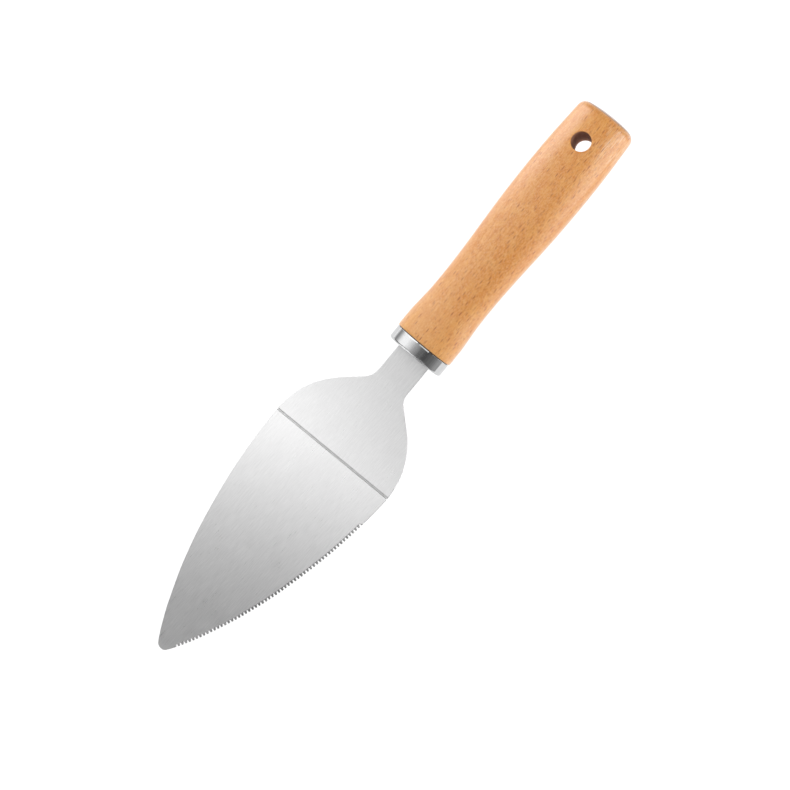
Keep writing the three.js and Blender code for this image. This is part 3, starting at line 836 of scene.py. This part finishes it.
# pale streaks along the grain near the corner of the butt, a painted highlight of fibres that catch the light; and
# painted shade on the end of the butt and behind the shoulder
corner = math_node(
    nt, "MULTIPLY", remap(nt, place.outputs[0], 96.0, 106.0, 0, 1), remap(nt, place.outputs[1], -2.0, -7.0, 0, 1)
)
sheen_streaks = noise(nt, coords(nt, (7.0, 0.42, 0.42)), detail=2, rough=0.5)
base = mix(
    nt, math_node(nt, "MULTIPLY", corner, remap(nt, sheen_streaks, 0.52, 0.62, 0, 0.5)), base, linear(250, 214, 176)
)
# painted shade: the end of the butt, from 114.5 mm on, is painted dark where it turns away from the lamps
base = mix(nt, remap(nt, place.outputs[0], 114.5, 115.0, 0, 0.7), base, linear(112, 60, 48))
# painted shade: a thin dark band just behind the shoulder, where the seam with the ferrule lies in shadow
base = mix(nt, remap(nt, place.outputs[0], SHOULDER + 0.13, SHOULDER + 0.05, 0, 0.85), base, linear(64, 40, 30))
nt.links.new(base, bsdf.inputs["Base Color"])
nt.links.new(remap(nt, fibre, 0.3, 0.7, 0.42, 0.52), bsdf.inputs["Roughness"])
bsdf.inputs["Coat Weight"].default_value = 1.0
bsdf.inputs["Coat Roughness"].default_value = 0.3
bsdf.inputs["Sheen Weight"].default_value = 0.24
bsdf.inputs["Sheen Roughness"].default_value = 0.5
bsdf.inputs["Sheen Tint"].default_value = (0.95, 0.92, 0.90, 1)
height = math_node(nt, "SUBTRACT", math_node(nt, "MULTIPLY", fibre, 0.5), math_node(nt, "MULTIPLY", marks, 0.1))
bump(nt, bsdf, height, 0.03)

# the drilled wall of the hanging hole: end grain burnished dark by the drill, no coat
m_bore, nt, bsdf = material("drilled beech")
rub = noise(nt, coords(nt, (0.5, 0.5, 5.0)), detail=3, rough=0.6)
nt.links.new(mix(nt, remap(nt, rub, 0.3, 0.7, 0, 1), linear(156, 113, 92), linear(178, 131, 106)), bsdf.inputs["Base Color"])
nt.links.new(remap(nt, rub, 0.3, 0.7, 0.75, 0.9), bsdf.inputs["Roughness"])
bsdf.inputs["Specular IOR Level"].default_value = 0.1
bump(nt, bsdf, rub, 0.03)

# cured adhesive
m_glue, nt, bsdf = material("cured adhesive")
swirl = noise(nt, coords(nt, (3.0, 2.0, 2.0)), detail=3)
nt.links.new(mix(nt, swirl, (0.52, 0.38, 0.16, 1), (0.68, 0.52, 0.25, 1)), bsdf.inputs["Base Color"])
nt.links.new(remap(nt, swirl, 0.3, 0.7, 0.3, 0.5), bsdf.inputs["Roughness"])
bump(nt, bsdf, swirl, 0.05)

for ob, m in ((blade, m_blade), (ferrule, m_ferrule), (wood, m_wood)):
    ob.data.materials.clear()
    ob.data.materials.append(m)
wood.data.materials.append(m_bore)
into_grip = GRIP.inverted()
for poly in wood.data.polygons:
    at = [into_grip @ (wood.data.vertices[i].co / MM) for i in poly.vertices]
    if all(math.hypot(q.x - HOLE_AT, q.y - HOLE_SIDE) < HOLE_RADIUS + 0.02 for q in at):
        poly.material_index = 1
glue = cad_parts["tang_adhesive"]
glue.data.materials.clear()
glue.data.materials.append(m_glue)

for ob, cad, slot in (
    (blade, "blade", "blade_steel"),
    (ferrule, "ferrule", "ferrule_steel"),
    (wood, "handle", "handle_wood"),
):
    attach(ob, "root")
    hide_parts(cad)

# ---------------------------------------------------------------- floor, light, camera
scene.view_settings.view_transform = "Standard"
scene.view_settings.look = "None"

bm = bmesh.new()
bmesh.ops.create_grid(bm, x_segments=2, y_segments=2, size=80.0)
me = bpy.data.meshes.new("floor")
bm.to_mesh(me)
bm.free()
floor = bpy.data.objects.new("floor", me)
scene.collection.objects.link(floor)
floor.location.z = -0.00003
m_floor, nt, bsdf = material("pale floor")
bsdf.inputs["Base Color"].default_value = (0.1, 0.1, 0.1, 1)
bsdf.inputs["Roughness"].default_value = 0.9
bsdf.inputs["Specular IOR Level"].default_value = 0.1
bsdf.inputs["Emission Color"].default_value = (1, 1, 1, 1)
bsdf.inputs["Emission Strength"].default_value = 1.03
floor.data.materials.append(m_floor)

# a white backdrop far off, only to be seen: it closes the horizon of low views and lights nothing
bm = bmesh.new()
bmesh.ops.create_cone(bm, cap_ends=False, segments=48, radius1=70.0, radius2=70.0, depth=90.0)
me = bpy.data.meshes.new("backdrop")
bm.to_mesh(me)
bm.free()
backdrop = bpy.data.objects.new("backdrop", me)
scene.collection.objects.link(backdrop)
for ray in ("diffuse", "glossy", "transmission", "volume_scatter", "shadow"):
    setattr(backdrop, "visible_" + ray, False)
m_back, nt, bsdf = material("white backdrop")
bsdf.inputs["Base Color"].default_value = (0, 0, 0, 1)
bsdf.inputs["Specular IOR Level"].default_value = 0.0
bsdf.inputs["Emission Color"].default_value = (1, 1, 1, 1)
bsdf.inputs["Emission Strength"].default_value = 1.05
backdrop.data.materials.append(m_back)

world = bpy.data.worlds.new("studio")
world.use_nodes = True
world.node_tree.nodes["Background"].inputs["Color"].default_value = (1, 1, 1, 1)
world.node_tree.nodes["Background"].inputs["Strength"].default_value = 0.03
scene.world = world


def softbox(name, at, towards, size, radiance):
    """Area light that can't be seen itself; size is (along, across) and its face looks at `towards`."""
    lamp = bpy.data.lights.new(name, "AREA")
    lamp.shape = "RECTANGLE"
    lamp.size, lamp.size_y = size
    lamp.energy = radiance * math.pi * size[0] * size[1]
    ob = bpy.data.objects.new(name, lamp)
    scene.collection.objects.link(ob)
    back = (Vector(at) - Vector(towards)).normalized()
    side = Vector((1, 0, 0)) - back * back.x
    side.normalize()
    up = back.cross(side)
    ob.matrix_world = Matrix.Translation(at) @ Matrix((side, up, back)).transposed().to_4x4()
    ob.visible_camera = False
    return ob


# softboxes on a half barrel over the server: angle from straight up towards +Y, how many degrees
# it spans, from and to in x, radiance
BARREL = 0.5
BANKS = [
    ("bank.right", -59, 65, 0.06, 0.36, 3.35),
    ("bank.left", 64.5, 52, 0.06, 0.36, 3.3),
    ("fill.right", -59, 65, -0.60, -0.34, 0.4),
    ("top.a", -20, 13, -0.08, 0.08, 0.08),
    ("top.b", -7, 13, -0.08, 0.08, 1.2),
    ("top.c", 6, 13, -0.08, 0.08, 1.0),
    ("top.d", 25.5, 26, -0.08, 0.08, 1.78),
    ("front.a", -7, 39, -0.20, -0.14, 0.21),
    ("front.b", 25.5, 26, -0.20, -0.14, 0.58),
    ("front.c", -10.25, 32.5, -0.34, -0.26, 1.4),
    ("front.d", 22.25, 32.5, -0.34, -0.26, 1.4),
]
# narrow strips side by side, graded like one large lit screen: where each begins and ends, radiance
SIDES = [(-89, -66, 0.43), (-66, -57, 0.36), (-57, -48, 0.26), (-48, -39.5, 0.20), (-39.5, -26.5, 0.15),
         (38.5, 48, 1.44), (48, 54, 1.28), (54, 59, 0.98), (59, 64.5, 0.64), (64.5, 70, 0.44), (70, 79, 0.34),
         (79, 91, 0.88)]
SCREEN = [(-26.5, -18, 0.11), (-18, -9, 0.07), (-9, -5, 0.09), (-5, 2, 0.15), (2, 5.5, 0.17), (5.5, 9, 0.29),
          (9, 12, 0.39), (12, 14.5, 0.53), (14.5, 17, 0.72), (17, 20, 0.90), (20, 24, 1.08), (24, 29, 1.26),
          (29, 38.5, 1.43)]
for k, (a, b, radiance) in enumerate(SIDES):
    BANKS.append(("side.%d" % k, (a + b) / 2, b - a, -0.20, 0.20, radiance))
for k, (a, b, radiance) in enumerate(SCREEN):
    BANKS.append(("screen.%d" % k, (a + b) / 2, b - a, -0.14, -0.08, radiance))
for name, angle, span, x0, x1, radiance in BANKS:
    a, x = angle * DEG, (x0 + x1) / 2
    softbox(
        name,
        (x, BARREL * math.sin(a), BARREL * math.cos(a)),
        (x, 0, 0),
        (x1 - x0, 2 * BARREL * math.tan(span / 2 * DEG)),
        radiance,
    )

softbox("low.front", (-0.85, 0.38, 0.32), (0, 0, 0.02), (0.36, 0.7), 1.6)
# two pale walls beyond the ends, for the steel to reflect at a low angle
softbox("wall.tip", (-1.6, 0, 0.62), (0, 0, 0.55), (1.2, 2.4), 0.45)
softbox("wall.butt", (1.6, 0, 0.62), (0, 0, 0.55), (1.2, 2.4), 0.45)

cam = bpy.data.objects.new("camera", bpy.data.cameras.new("camera"))
scene.collection.objects.link(cam)
cam.data.lens = 69.101
cam.data.sensor_width = 36.0
cam.data.clip_start = 0.01
cam.data.clip_end = 200.0
cam.matrix_world = Matrix((
    (0.6606442326, 0.7454610533, -0.0885269223, -0.0512254),
    (-0.7449147985, 0.6363685807, -0.2003421387, -0.1197999),
    (-0.0930115098, 0.1982998929, 0.9757182029, 0.5700575),
    (0, 0, 0, 1),
))
scene.camera = cam
